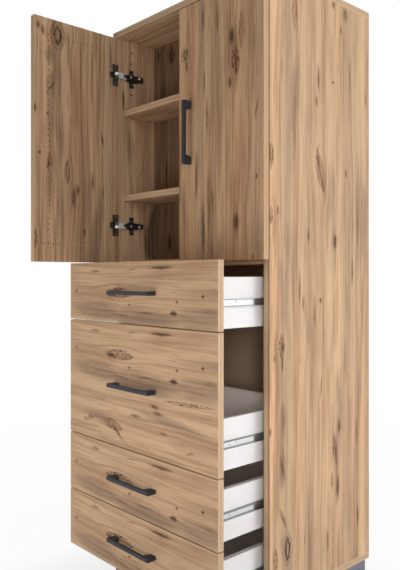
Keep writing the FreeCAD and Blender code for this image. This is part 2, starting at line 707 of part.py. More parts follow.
def make_leg_frame(side_name, side):
    """Upturned U of square steel tube: two posts and a bar under the carcass, with two fixing tabs."""
    label = f"{side_name}_leg_frame"
    low_x = f"({leg_outer_x()} - #leg_tube)"
    post_height = "#leg_height - #glide_thick"
    length = f"{leg_back_y} - {leg_front_y}"
    outer = [
        add_box(f"{label}_bar", sided_x(side, low_x, "#leg_tube"), leg_front_y, "#leg_height - #leg_tube",
                "#leg_tube", length, "#leg_tube"),
    ]
    bore = "#leg_tube - 2 * #leg_wall"
    inner = [
        add_box(f"{label}_bar_bore", sided_x(side, f"{low_x} + #leg_wall", bore),
                f"{leg_front_y} + #leg_wall", "#leg_height - #leg_tube + #leg_wall",
                bore, f"{length} - 2 * #leg_wall", bore),
    ]
    for number, y in enumerate((leg_front_y, f"({leg_back_y} - #leg_tube)")):
        outer.append(add_box(f"{label}_post_{number}", sided_x(side, low_x, "#leg_tube"), y, "#glide_thick",
                             "#leg_tube", "#leg_tube", post_height))
        inner.append(add_box(f"{label}_post_bore_{number}", sided_x(side, f"{low_x} + #leg_wall", bore),
                             f"{y} + #leg_wall", "#glide_thick", bore, bore,
                             f"{post_height} - #leg_wall"))
    for number, y in enumerate(tab_places()):
        tab_low = f"({low_x} - #tab_reach)"
        outer.append(add_box(f"{label}_tab_{number}", sided_x(side, tab_low, "#tab_reach + #leg_wall / 2"), y,
                             "#leg_height - #tab_thick", "#tab_reach + #leg_wall / 2", "#tab_length",
                             "#tab_thick"))
        inner.append(add_cylinder(f"{label}_tab_hole_{number}", "#screw_radius + #hole_play", "#tab_thick",
                                  f"{side} * ({low_x} - #tab_reach / 2)", f"{y} + #tab_length / 2",
                                  "#leg_height - #tab_thick"))
        inner.append(copy_of(sink_hole, f"{label}_tab_sink_{number}",
                             f"{side} * ({low_x} - #tab_reach / 2)", f"{y} + #tab_length / 2",
                             "#leg_height - #tab_thick"))
    bores = fuse(f"{label}_bores", inner)
    node(cut(label, fuse(f"{label}_blank", outer), [bores]), label)


def make_glides():
    """Plastic feet: a pad under each post and a plug up its bore."""
    glides = []
    plug = "(#leg_tube - 2 * #leg_wall - 2 * #hole_play)"
    for side_name, side in sides:
        low_x = f"({leg_outer_x()} - #leg_tube)"
        for number, y in enumerate((leg_front_y, f"({leg_back_y} - #leg_tube)")):
            pad = add_box(f"glide_pad_{side_name}_{number}", sided_x(side, low_x, "#leg_tube"), y, "0",
                          "#leg_tube", "#leg_tube", "#glide_thick")
            stem = add_box(f"glide_stem_{side_name}_{number}",
                           sided_x(side, f"{low_x} + #leg_wall + #hole_play", plug),
                           f"{y} + #leg_wall + #hole_play", "0", plug, plug, "#glide_thick + #glide_plug")
            glides.append(fuse(f"glide_{side_name}_{number}", [pad, stem]))
    node(group("leg_glides", glides), "leg_glides")


def make_cabinet_rails():
    rails = []
    for side_name, side in sides:
        turn = "0; 180; 0" if side > 0 else "0; 0; 0"
        for number, z in enumerate(rail_levels(), start=1):
            rails.append(copy_of(outer_rail, f"outer_rail_{side_name}_{number}", f"{side} * {inner_x}",
                                 rail_y, z, turn))
    node(group("cabinet_rails", rails), "cabinet_rails")


def make_carcass_screws():
    """Screws of the cabinet rails, the hinge plates and the leg frames."""
    screws = []
    for side_name, side in sides:
        outward = towards["+x"] if side > 0 else towards["-x"]
        for level, z in enumerate(rail_levels()):
            for end, y in enumerate(("#rail_screw_end", "#rail_length - #rail_screw_end")):
                screws.append(copy_of(wood_screw, f"rail_screw_{side_name}_{level}_{end}",
                                      f"{side} * ({inner_x} - #rail_wall)", f"{rail_y} + {y}", z, outward))
        for level, z in enumerate(hinge_levels):
            for end in (-1, 1):
                screws.append(copy_of(wood_screw, f"plate_screw_{side_name}_{level}_{end + 1}",
                                      f"{side} * ({inner_x} - #plate_thick)",
                                      f"{edge_y} + #plate_setback",
                                      f"{z} + {end} * #plate_screw_pitch / 2", outward))
    for number, (x, y) in enumerate(leg_screw_places()):
        screws.append(copy_of(wood_screw, f"leg_screw_{number}", x, y, "#leg_height - #tab_thick",
                              towards["+z"]))
    node(group("carcass_screws", screws), "carcass_screws")


def make_fixed_hinge_pieces():
    for label, master in (("hinge_plates", hinge_plate), ("hinge_arms", arm_and_pin)):
        pieces = []
        for side_name, side in sides:
            turn = "0; 180; 0" if side > 0 else "0; 0; 0"
            for level, z in enumerate(hinge_levels):
                pieces.append(copy_of(master, f"{label}_{side_name}_{level}", f"{side} * {inner_x}",
                                      edge_y, z, turn))
        node(group(label, pieces), label)


make_side_panel("left_side_panel", -1)
make_side_panel("right_side_panel", 1)
make_panels()
make_compartment_back()
make_shelf_pins()
make_panel_dowels()
make_leg_frame("left", -1)
make_leg_frame("right", 1)
make_glides()
make_cabinet_rails()
make_fixed_hinge_pieces()
make_carcass_screws()


# Doors. Their pieces are made closed, with X and Y counted from the pivot, then turned about it.

def make_door(side_name, side):
    angle = f"#{side_name}_door_angle"
    swing = f"{side} * {angle}"

    def hang(items, label):
        piece = group(f"{label}_piece", items)
        place(piece, f"{side} * {pivot_x}", pivot_y, "0", f"{swing}; 0; 0")
        node(piece, label)

    edge = "(-#pivot_inset)"
    # seen from the pivot, the door reaches towards the middle of the cabinet
    low_x = sided_x(-side, edge, door_width)
    blank = add_box(f"{side_name}_door_blank", low_x, "#pivot_depth - #front_board", door_bottom_z,
                    door_width, "#front_board", door_height)
    cup_x = f"{-side} * ({edge} + #cup_inset)"
    screw_x = f"{-side} * ({edge} + #cup_inset + {cup_screw_x})"
    grip_x = f"{-side} * ({edge} + {door_width} - #handle_inset)"
    face_y = "#pivot_depth"
    front_face_y = "#pivot_depth - #front_board"
    tools = []
    cups = []
    screws = []
    for level, z in enumerate(hinge_levels):
        tools.append(add_cylinder(f"{side_name}_cup_bore_{level}", "#cup_radius + #hole_play",
                                  "#cup_depth + #hole_play", cup_x, face_y, z, towards["-y"]))
        cups.append(copy_of(hinge_cup, f"{side_name}_cup_{level}", cup_x, face_y, z,
                            "0; 180; 0" if side > 0 else "0; 0; 0"))
        for end in (-1, 1):
            screw_z = f"{z} + {end} * #cup_screw_pitch / 2"
            tools.append(copy_of(wood_hole, f"{side_name}_cup_screw_hole_{level}_{end + 1}", screw_x,
                                 face_y, screw_z, towards["-y"]))
            screws.append(copy_of(wood_screw, f"{side_name}_cup_screw_{level}_{end + 1}", screw_x,
                                  f"{face_y} + #flange_thick", screw_z, towards["-y"]))
    for end, offset in enumerate(handle_screw_offsets()):
        z = f"{door_middle_z} + {offset}"
        tools.append(copy_of(handle_hole, f"{side_name}_handle_hole_{end}", grip_x, face_y, z,
                             towards["-y"]))
        screws.append(copy_of(handle_screw, f"{side_name}_handle_screw_{end}", grip_x,
                              f"{face_y} + #handle_head_thick", z, towards["-y"]))
    hang([cut(f"{side_name}_door_board", blank, tools)], f"{side_name}_door")
    grip = copy_of(handle, f"{side_name}_grip", grip_x, front_face_y, door_middle_z, "-90; 90; 90")
    hang([grip], f"{side_name}_door_handle")
    hang(cups, f"{side_name}_door_hinge_cups")
    hang(screws, f"{side_name}_door_screws")

    links = []
    for level, z in enumerate(hinge_levels):
        turn = f"{-side} * (#link_closed_angle - #link_ratio * {angle}); {180 if side > 0 else 0}; 0"
        links.append(copy_of(hinge_link, f"{side_name}_link_{level}",
                             f"{side} * ({inner_x} - #hinge_pin_x)", f"{edge_y} + #hinge_pin_y", z, turn))
    node(group(f"{side_name}_links", links), f"{side_name}_hinge_links")


for side_name, side in sides:
    make_door(side_name, side)


# Drawers, pulled out by drawer_pull

def make_drawer(number, bottom, height):
    name = f"drawer_{number}"
    pulled = "#drawer_pull"
    back_of_front = f"({edge_y} - #door_gap - {pulled})"
    front_width = "(#carcass_width - 2 * #side_reveal)"
    low_z = f"({bottom} + #box_rise)"
    floor_low = f"({low_z} + #bottom_rise)"
    middle_z = f"({low_z} + #box_height / 2)"
    box_end = f"({back_of_front} + #box_length)"
    inside_x = f"({box_face_x} - #box_board)"
    groove_x = f"({inside_x} + #groove_depth)"
    slot_height = "#box_bottom + 2 * #groove_play"
    dowel_levels = [f"({low_z} + #dowel_edge)", f"({low_z} + #box_height - #dowel_edge)"]
    rail_shift = f"({rail_y} - {pulled})"

    # front
    blank = add_box(f"{name}_front_blank", f"-{front_width} / 2", f"{back_of_front} - #front_board", bottom,
                    front_width, "#front_board", height)
    grip_z = f"({bottom} + {height} / 2)"
    tools = [add_box(f"{name}_front_groove", f"-{groove_x}", f"{back_of_front} - #groove_depth",
                     f"{floor_low} - #groove_play", f"2 * {groove_x}", "#groove_depth", slot_height)]
    fasteners = []
    for end, offset in enumerate(handle_screw_offsets()):
        tools.append(copy_of(handle_hole, f"{name}_handle_hole_{end}", offset, back_of_front, grip_z,
                             towards["-y"]))
        fasteners.append(copy_of(handle_screw, f"{name}_handle_screw_{end}", offset,
                                 f"{back_of_front} + #handle_head_thick", grip_z, towards["-y"]))
    for side_name, side in sides:
        for level, z in enumerate(dowel_levels):
            tools.append(copy_of(shallow_hole, f"{name}_front_{side_name}_{level}",
                                 f"{side} * ({box_face_x} - #box_board / 2)", back_of_front, z,
                                 towards["-y"]))
    node(cut(f"{name}_front_board", blank, tools), f"{name}_front")
    node(copy_of(handle, f"{name}_grip", "0", f"{back_of_front} - #front_board", grip_z, "0; 0; 180"),
         f"{name}_handle")

    # box sides
    boards = []
    for side_name, side in sides:
        inward = towards["-x"] if side > 0 else towards["+x"]
        outward = towards["+x"] if side > 0 else towards["-x"]
        blank = add_box(f"{name}_{side_name}_blank", sided_x(side, inside_x, "#box_board"), back_of_front,
                        low_z, "#box_board", "#box_length", "#box_height")
        tools = [add_box(f"{name}_{side_name}_groove", sided_x(side, inside_x, "#groove_depth"),
                         back_of_front, f"{floor_low} - #groove_play", "#groove_depth", "#box_length",
                         slot_height)]
        for end, y in enumerate(("#rail_screw_end", "#rail_length - #rail_screw_end")):
            tools.append(copy_of(wood_hole, f"{name}_{side_name}_rail_hole_{end}",
                                 f"{side} * {box_face_x}", f"{rail_shift} + {y}", middle_z, inward))
            fasteners.append(copy_of(wood_screw, f"{name}_{side_name}_rail_screw_{end}",
                                     f"{side} * ({box_face_x} + #rail_wall)", f"{rail_shift} + {y}",
                                     middle_z, inward))
        for level, z in enumerate(dowel_levels):
            x = f"{side} * ({box_face_x} - #box_board / 2)"
            tools.append(copy_of(deep_hole, f"{name}_{side_name}_front_dowel_hole_{level}", x,
                                 back_of_front, z, towards["+y"]))
            fasteners.append(copy_of(small_dowel, f"{name}_{side_name}_front_dowel_{level}", x,
                                     f"{back_of_front} - #dowel_shallow", z, towards["+y"]))
            back_middle = f"({box_end} - #box_board / 2)"
            tools.append(copy_of(shallow_hole, f"{name}_{side_name}_back_dowel_hole_{level}",
                                 f"{side} * {inside_x}", back_middle, z, outward))
            fasteners.append(copy_of(small_dowel, f"{name}_{side_name}_back_dowel_{level}",
                                     f"{side} * ({inside_x} + #dowel_shallow)", back_middle, z, inward))
        boards.append(cut(f"{name}_{side_name}_board", blank, tools))
    node(group(f"{name}_side_boards", boards), f"{name}_sides")

    # box back and bottom
    blank = add_box(f"{name}_back_blank", f"-{inside_x}", f"{box_end} - #box_board", low_z,
                    f"2 * {inside_x}", "#box_board", "#box_height")
    tools = [add_box(f"{name}_back_groove", f"-{inside_x}", f"{box_end} - #box_board",
                     f"{floor_low} - #groove_play", f"2 * {inside_x}", "#groove_depth", slot_height)]
    for side_name, side in sides:
        inward = towards["-x"] if side > 0 else towards["+x"]
        for level, z in enumerate(dowel_levels):
            tools.append(copy_of(deep_hole, f"{name}_back_{side_name}_{level}", f"{side} * {inside_x}",
                                 f"{box_end} - #box_board / 2", z, inward))
    node(cut(f"{name}_back_board", blank, tools), f"{name}_back")
    tongue = "(#groove_depth - #groove_play)"
    node(add_box(f"{name}_bottom_board", f"-({inside_x} + {tongue})", f"{back_of_front} - {tongue}",
                 floor_low, f"2 * ({inside_x} + {tongue})",
                 f"#box_length - #box_board + 2 * {tongue}", "#box_bottom"), f"{name}_bottom")

    # slides
    rails = []
    cages = []
    for side_name, side in sides:
        turn = "0; 0; 0" if side > 0 else "0; 180; 0"
        rails.append(copy_of(inner_rail, f"{name}_rail_{side_name}", f"{side} * {box_face_x}", rail_shift,
                             middle_z, turn))
        turn = "0; 180; 0" if side > 0 else "0; 0; 0"
        cages.append(copy_of(cage_and_balls, f"{name}_cage_{side_name}", f"{side} * {inner_x}",
                             f"{rail_y} + (#drawer_travel - {pulled}) / 2", middle_z, turn))
    node(group(f"{name}_rails_group", rails), f"{name}_rails")
    node(group(f"{name}_fastener_group", fasteners), f"{name}_fasteners")
    node(group(f"{name}_cage_group", cages), f"{name}_ball_cages")


for number, bottom, height in drawers:
    make_drawer(number, bottom, height)

doc.recompute()

faults = []
for item in doc.Objects:
    if "Invalid" in item.State or "Error" in item.State:
        faults.append(f"{item.Name}: {item.State}")
for item in nodes:
    if item.Shape.isNull() or not item.Shape.isValid() or not item.Shape.Solids:
        faults.append(f"{item.Label}: no valid shape")
if faults:
    print("\n".join(faults))
    sys.exit(1)

os.makedirs("parts", exist_ok=True)
for item in nodes:
    item.Shape.exportStep(f"parts/{item.Label}.step")
    box = item.Shape.BoundBox
    extent = f"{box.XLength:.1f} x {box.YLength:.1f} x {box.ZLength:.1f}"
    print(f"{item.Label}: {len(item.Shape.Solids)} solids, {extent}")
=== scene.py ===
import json
import math
import bpy
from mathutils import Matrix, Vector

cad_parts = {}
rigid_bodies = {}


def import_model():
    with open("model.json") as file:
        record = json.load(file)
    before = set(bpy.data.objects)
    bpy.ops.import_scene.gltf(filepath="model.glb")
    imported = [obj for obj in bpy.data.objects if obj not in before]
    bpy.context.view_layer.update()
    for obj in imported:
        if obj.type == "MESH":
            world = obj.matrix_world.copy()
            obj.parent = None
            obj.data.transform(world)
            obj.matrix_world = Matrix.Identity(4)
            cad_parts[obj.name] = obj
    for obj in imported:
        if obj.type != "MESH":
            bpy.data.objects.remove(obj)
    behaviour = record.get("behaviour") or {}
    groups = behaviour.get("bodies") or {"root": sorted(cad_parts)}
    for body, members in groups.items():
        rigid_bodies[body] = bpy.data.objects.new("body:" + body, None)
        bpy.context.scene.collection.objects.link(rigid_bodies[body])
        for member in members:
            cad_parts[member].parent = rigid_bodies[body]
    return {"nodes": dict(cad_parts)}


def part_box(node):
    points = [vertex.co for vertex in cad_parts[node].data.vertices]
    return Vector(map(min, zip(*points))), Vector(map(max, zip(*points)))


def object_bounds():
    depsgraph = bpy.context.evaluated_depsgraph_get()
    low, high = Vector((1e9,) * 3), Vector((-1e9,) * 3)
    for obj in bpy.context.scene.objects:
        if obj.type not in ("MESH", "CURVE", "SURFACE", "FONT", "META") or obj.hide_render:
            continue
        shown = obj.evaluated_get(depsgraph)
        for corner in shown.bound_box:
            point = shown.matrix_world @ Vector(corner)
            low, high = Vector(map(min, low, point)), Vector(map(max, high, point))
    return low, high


for spare in list(bpy.data.objects):          # the start-up cube, lamp and camera
    bpy.data.objects.remove(spare)

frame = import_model()
nodes = frame["nodes"]
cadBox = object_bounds()
print("frame loaded:", len(nodes), "nodes")

perMetre = 1000                               # materials are measured in millimetres
white = (1, 1, 1, 1)


def paint(red, green, blue):                  # a colour as it looks on screen, 0 to 255
    def linear(value):
        value /= 255
        return value / 12.92 if value <= 0.04045 else ((value + 0.055) / 1.055) ** 2.4
    return linear(red), linear(green), linear(blue), 1


class Wire:                                   # an output socket that takes part in sums
    def __init__(self, shader, socket):
        self.shader = shader
        self.socket = socket

    def math(self, operation, *values):
        return self.shader.add("ShaderNodeMath", {"operation": operation}, dict(enumerate(values)))

    def __add__(self, other):
        return self.math("ADD", self, other)

    def __radd__(self, other):
        return self.math("ADD", other, self)

    def __sub__(self, other):
        return self.math("SUBTRACT", self, other)

    def __rsub__(self, other):
        return self.math("SUBTRACT", other, self)

    def __mul__(self, other):
        return self.math("MULTIPLY", self, other)

    def __rmul__(self, other):
        return self.math("MULTIPLY", other, self)

    def __truediv__(self, other):
        return self.math("DIVIDE", self, other)

    def __gt__(self, other):
        return self.math("GREATER_THAN", self, other)

    def __lt__(self, other):
        return self.math("LESS_THAN", self, other)

    def __abs__(self):
        return self.math("ABSOLUTE", self)

    def root(self):
        return self.math("SQRT", self)

    def highest(self, other):
        return self.math("MAXIMUM", self, other)


class Shader:                                 # the nodes of a material or of the world
    def __init__(self, owner):
        self.owner = owner
        owner.use_nodes = True
        self.tree = owner.node_tree
        self.tree.nodes.clear()

    def add(self, kind, settings=None, values=None, output=0):
        node = self.tree.nodes.new(kind)
        for name, setting in (settings or {}).items():
            if name == "stops":
                setStops(node.color_ramp, setting)
            else:
                setattr(node, name, setting)
        for name, value in (values or {}).items():
            if isinstance(value, Wire):
                self.tree.links.new(value.socket, node.inputs[name])
            else:
                node.inputs[name].default_value = value
        return Wire(self, node.outputs[output]) if node.outputs else None

    def place(self):                          # the point in the part's own frame, in millimetres
        point = self.add("ShaderNodeTexCoord", output="Object")
        return self.vector("SCALE", point, Scale=perMetre)

    def vector(self, operation, first, second=None, output=0, **named):
        values = {0: first}
        if second is not None:
            values[1] = second
        values.update(named)
        return self.add("ShaderNodeVectorMath", {"operation": operation}, values, output)

    def dot(self, first, second):
        return self.vector("DOT_PRODUCT", first, second, "Value")

    def join(self, x, y, z):
        return self.add("ShaderNodeCombineXYZ", None, {0: x, 1: y, 2: z})

    def noise(self, point, scale=1.0, detail=2.0, roughness=0.5):
        values = {"Vector": point, "Scale": scale, "Detail": detail, "Roughness": roughness}
        return self.add("ShaderNodeTexNoise", {"noise_dimensions": "3D"}, values)

    def smooth(self, value, low, high):       # 0 at low, 1 at high, with soft ends
        values = {"Value": value, 1: low, 2: high, 3: 0.0, 4: 1.0}
        return self.add("ShaderNodeMapRange", {"interpolation_type": "SMOOTHSTEP"}, values)

    def around(self, value, middle, off, on):     # 1 close to a middle value, 0 away from it
        return self.smooth(abs(value - middle), off, on)

    def ramp(self, value, stops):
        return self.add("ShaderNodeValToRGB", {"stops": stops}, {0: value})

    def mix(self, factor, first, second, blend="MIX"):
        settings = {"data_type": "RGBA", "blend_type": blend}
        return self.add("ShaderNodeMix", settings, {0: factor, 6: first, 7: second}, 2)

    def times(self, first, second):           # one colour multiplied by another
        return self.mix(1.0, first, second, "MULTIPLY")

    def toned(self, colour, value):           # a colour multiplied by a plain value
        grey = self.add("ShaderNodeCombineColor", None, {0: value, 1: value, 2: value})
        return self.times(colour, grey)

    def bump(self, height, distance):
        return self.add("ShaderNodeBump", None, {"Height": height, "Distance": distance, "Strength": 1.0})

    def finish(self, **values):               # the surface itself
        sockets = {name.replace("_", " "): value for name, value in values.items()}
        surface = self.add("ShaderNodeBsdfPrincipled", None, sockets)
        self.add("ShaderNodeOutputMaterial", None, {"Surface": surface})
        return self.owner


def setStops(ramp, stops):
    while len(ramp.elements) < len(stops):
        ramp.elements.new(0.5)
    for element, (position, colour) in zip(ramp.elements, stops):
        element.position = position
        element.color = colour


def newMaterial(name):
    return Shader(bpy.data.materials.new(name))


# The foil is a printed oak. Lengths are along the grain, widths across it, in millimetres.
# Two numbers that bound a soft step are where it starts and where it is full.
wood = {
    "wave": 26,                                           # how far the grain wanders
    "flow": 0.55, "flowReach": 4.0,                       # how it flows round a knot
    "tones": [(0.30, paint(178, 142, 110)), (0.42, paint(196, 160, 126)), (0.50, paint(205, 170, 135)),
              (0.58, paint(211, 177, 141)), (0.70, paint(219, 186, 148))],
    "line": (0.30, 0.66), "lineDark": (0.66, 0.61, 0.56, 1), "linePale": (1.13, 1.14, 1.15, 1),
    "calm": (0.44, 0.60), "calmLine": 0.78, "calmShare": 0.6,     # pale strips carry fainter lines
    "evenStrip": 0.5, "evenLine": 0.72,                   # what a board of low contrast comes near
    "greyCloud": (0.52, 0.72), "greyShare": 0.75,
    "redCloud": (0.44, 0.28), "redShare": 0.35,
    "dash": (0.60, 0.76), "patch": (0.50, 0.66), "dashShare": 0.7,
    "hairTone": (0.90, 0.20), "edgeTone": (0.88, 0.20),   # lowest tone, and what the noise adds
    "bandSoft": 0.3, "bandTint": (1, 0.9, 0.7),           # a darker band is greyer too
    "ragged": (13, 5.85),                                 # how far outlines of marks are frayed
    "smallMark": 10,                                      # shorter marks keep a clean outline
    "streaky": (1.25, 0.5),                               # marks are paler on pale grain lines
    "dark": paint(74, 52, 38),
    "grey": paint(150, 122, 98),
    "red": paint(156, 112, 82),
    # the colour of painted shade in deep corners
    "shade": paint(66, 48, 36),
    "pin": paint(70, 50, 36), "palePin": paint(214, 184, 152),
    "edge": paint(205, 174, 140),
    "edgeSlope": 0.6, "faceSlope": 0.3,                   # how far a normal has to point that way
    "edgeShift": 700, "faceSeed": 31,                     # edges and faces have their own figure
    "seam": (9, 1.2, 0.35), "seamSoft": 0.8,              # a thin line along the edges
    "roughness": (0.50, 0.12), "specular": 0.18,
    "lineRelief": 0.4, "hairRelief": 0.6, "relief": 0.0001,
}
woodLayers = {    # length and width of the figure, its own seed, detail and roughness
    "wave": (420, 110, 0, 1.5, 0.5),                      # how the grain wanders
    "strip": (1300, 30, 3, 3, 0.55),                      # broad strips of tone
    "cloud": (380, 62, 7, 3, 0.5),                        # greyish and reddish clouds
    "line": (240, 7.0, 11, 3, 0.6),                       # grain lines
    "hair": (90, 1.8, 13, 2, 0.5),                        # pores
    "dash": (62, 5.0, 17, 2, 0.5),                        # short dark dashes
    "patch": (240, 42, 19, 2, 0.5),                       # where dashes gather
    "fray": (13, 4.5, 41, 2, 0.5),                        # ragged outlines across the grain
    "turn": (13, 4.5, 43, 2, 0.5),                        # and along it
    "fade": (40, 40, 51, 2, 0.5),                         # where pin pricks are faint
}

axes = {"x": Vector((1, 0, 0)), "y": Vector((0, 1, 0)), "z": Vector((0, 0, 1))}


def axis(word):                               # "-z" is straight down
    return -axes[word[1]] if word[0] == "-" else axes[word[1]]


def woodNoise(s, layer, grain, cross, seed):
    length, width, ownSeed, detail, roughness = woodLayers[layer]
    point = s.join(grain / length, cross / width, seed + ownSeed)
    return s.noise(point, detail=detail, roughness=roughness)


def boardPoint(s, node, spec):
    # millimetres along the grain and across it, measured from the board's corner
    along = axis(spec["along"])
    over = axis(spec["over"])
    through = axis(spec["face"])
    low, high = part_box(node)
    corner = Vector(low[i] if (along + over)[i] >= 0 else high[i] for i in range(3))
    place = s.vector("SUBTRACT", s.place(), corner * perMetre)
    normal = s.add("ShaderNodeTexCoord", output="Normal")
    length = s.dot(place, along)
    width = s.dot(place, over)
    depth = abs(s.dot(place, through))
    endEdge = abs(s.dot(normal, along)) > wood["edgeSlope"]
    sideEdge = abs(s.dot(normal, over)) > wood["edgeSlope"]
    edge = endEdge.highest(sideEdge)
    face = s.dot(normal, through) > wood["faceSlope"]
    grain = length + endEdge * (width - length)
    cross = width + edge * (depth + wood["edgeShift"] - width)
    return grain, cross, edge, face, depth


# Each mark is drawn by its reach, which is 0 at its middle line and 1 at its outline. A rim, halo
# or gap is a reach, and how far from it the line ends and is full.
markLooks = {
    "streak": {"core": (1.1, 0.25), "dark": 0.93, "stainAndShade": (2.2, 0.8), "red": 0.45},
    "ring": {"ragged": 0.7, "rim": (0.55, 0.36, 0.12), "halo": (1.45, 0.4, 0.05), "broken": (0.42, 0.58),
             "haloDark": 0.45, "heart": (0.22, 0.05), "heartDark": 0.5, "stainAndShade": (2.0, 0.8), "red": 0.35},
    "eye": {"core": (1.1, 0.85), "dark": 1.2, "gap": (0.65, 0.18, 0.05), "gapPale": 0.8,
            "stainAndShade": (1.6, 0.9), "red": 0.5},
    "knot": {"rim": (0.85, 0.25, 0.05), "broken": (0.42, 0.56), "specks": (0.50, 0.62),
             "inside": (1.1, 0.7), "specksDark": 0.75, "stainAndShade": (1.3, 0.7), "red": 0.4},
    "cloud": {"stainAndShade": (1.0, 0.1)},
    "shade": {"stainAndShade": (1.0, 0.45)},
}


def streakMark(s, look, reach, strength, mottle):     # a dark lens with soft ends
    return {"dark": s.smooth(reach, *look["core"]) * (look["dark"] * strength),
            "red": s.smooth(reach, *look["stainAndShade"]) * (look["red"] * strength)}


def ringMark(s, look, reach, strength, mottle):       # a ragged dark rim, paler heart, faint halo
    reach = reach + (mottle - 0.5) * look["ragged"]
    rim = s.around(reach, *look["rim"])
    halo = s.around(reach, *look["halo"]) * s.smooth(mottle, *look["broken"])
    heart = s.smooth(reach, *look["heart"])
    dark = rim.highest(halo * look["haloDark"]).highest(heart * look["heartDark"])
    return {"dark": dark * strength,
            "red": s.smooth(reach, *look["stainAndShade"]) * (look["red"] * strength)}


def eyeMark(s, look, reach, strength, mottle):        # a small knot with a dark heart and rim
    gap = s.around(reach, *look["gap"])
    dark = s.smooth(reach, *look["core"]) * (look["dark"] - gap * look["gapPale"])
    return {"dark": dark * strength,
            "red": s.smooth(reach, *look["stainAndShade"]) * (look["red"] * strength)}


def knotMark(s, look, reach, strength, mottle):       # a mottled reddish patch with a broken rim
    rim = s.around(reach, *look["rim"]) * s.smooth(mottle, *look["broken"])
    specks = s.smooth(mottle, *look["specks"]) * s.smooth(reach, *look["inside"])
    return {"dark": rim.highest(specks * look["specksDark"]) * strength,
            "red": s.smooth(reach, *look["stainAndShade"]) * (look["red"] + look["red"] * mottle)}


def cloudMark(s, look, reach, strength, mottle):      # a broad greyish stain
    return {"grey": s.smooth(reach, *look["stainAndShade"]) * strength}


def shadeMark(s, look, reach, strength, mottle):      # a deep corner that light hardly reaches
    return {"shade": s.smooth(reach, *look["stainAndShade"]) * strength}


markKinds = {"streak": streakMark, "ring": ringMark, "eye": eyeMark, "knot": knotMark,
             "cloud": cloudMark, "shade": shadeMark}


def markReach(u, v, blot):                 # a lens with pointed ends
    du = (u - blot["at"][0]) / blot["size"][0]
    dv = (v - blot["at"][1] - blot["slope"] * (u - blot["at"][0])) / blot["size"][1]
    return du * du + abs(dv)


def drawMarks(s, grain, cross, line, seed, marks):
    # all marks of a board, stains and painted shade alike, gathered into one layer for each colour
    fray = woodNoise(s, "fray", grain, cross, seed)
    turn = woodNoise(s, "turn", grain, cross, seed)
    u = grain + (turn - 0.5) * wood["ragged"][0]
    v = cross + (fray - 0.5) * wood["ragged"][1]
    stainsAndShade = {}
    for blot in marks:
        small = blot["size"][0] < wood["smallMark"]
        reach = markReach(grain, cross, blot) if small else markReach(u, v, blot)
        draw = markKinds[blot["kind"]]
        for colour, amount in draw(s, markLooks[blot["kind"]], reach, blot["strength"], fray).items():
            stainsAndShade[colour] = stainsAndShade[colour].highest(amount) if colour in stainsAndShade else amount
    most, less = wood["streaky"]
    streaky = most - less * line
    return {colour: amount * streaky for colour, amount in stainsAndShade.items()}


pricks = {"pitch": 16.7, "radius": 2.9, "core": 0.4, "fade": (0.42, 0.55), "faint": 0.7}


def drawPins(s, grain, cross, seed, rows):
    # rows of pin pricks, either along the grain at one width or across it at one length
    spots = None
    pitch = pricks["pitch"]
    fade = s.smooth(woodNoise(s, "fade", grain, cross, seed), *pricks["fade"])
    for kind, level, start, end in rows:
        run, off = (grain, cross - level) if kind == "column" else (cross, grain - level)
        place = (run - start) / pitch
        step = (place - place.math("ROUND", place)) * pitch
        reach = (step * step + off * off).root()
        inside = (run > start - pitch / 2) * (run < end + pitch / 2)
        prick = s.smooth(reach, pricks["radius"], pricks["radius"] * pricks["core"]) * inside
        spots = prick if spots is None else spots.highest(prick)
    return spots * (pricks["faint"] + (1 - pricks["faint"]) * fade)


def woodColour(s, grain, cross, face, seed, spec):
    wave = woodNoise(s, "wave", grain, cross, seed)
    lines = cross + (wave - 0.5) * wood["wave"]
    for blot in spec["marks"]:
        if blot["kind"] in ("ring", "knot"):  # the grain flows round a knot
            push = s.smooth(markReach(grain, cross, blot), wood["flowReach"], 0.0)
            lines = lines - (cross - blot["at"][1]) * push * wood["flow"]
    strip, cloud, line, hair, dash, patch = [
        woodNoise(s, layer, grain, lines, seed)
        for layer in ("strip", "cloud", "line", "hair", "dash", "patch")]
    calm = s.smooth(strip, *wood["calm"])
    line = s.smooth(line, *wood["line"])
    line = line + (wood["calmLine"] - line) * calm * wood["calmShare"]
    even = 1 - spec.get("contrast", 1)
    line = line + (wood["evenLine"] - line) * even
    colour = s.ramp(strip + (wood["evenStrip"] - strip) * even, wood["tones"])
    colour = s.mix(s.smooth(cloud, *wood["greyCloud"]) * wood["greyShare"], colour, wood["grey"])
    colour = s.mix(s.smooth(cloud, *wood["redCloud"]) * wood["redShare"], colour, wood["red"])
    dashes = s.smooth(dash, *wood["dash"]) * s.smooth(patch, *wood["patch"])
    colour = s.mix(dashes * wood["dashShare"], colour, wood["dark"])
    stainsAndShade = drawMarks(s, grain, cross, line, seed, spec["marks"]) if spec["marks"] else {}
    for stainAndShade in ("grey", "red", "shade", "dark"):        # the dark one lies over the others
        if stainAndShade in stainsAndShade:
            colour = s.mix(stainsAndShade[stainAndShade] * face, colour, wood[stainAndShade])
    colour = s.times(colour, s.mix(line, wood["lineDark"], wood["linePale"]))
    lowest, added = wood["hairTone"]
    colour = s.toned(colour, lowest + added * hair)
    for place, width, depth in spec.get("bands", ()):     # broad strips, greyer or paler
        inside = s.around(lines, place, width, width * wood["bandSoft"]) * face
        tint = [1 - depth * share for share in wood["bandTint"]] + [1]
        colour = s.mix(inside, colour, s.times(colour, tint))
    for name in ("pin", "palePin"):
        if name in spec:
            colour = s.mix(drawPins(s, grain, cross, seed, spec[name]) * face, colour, wood[name])
    return colour, line, hair


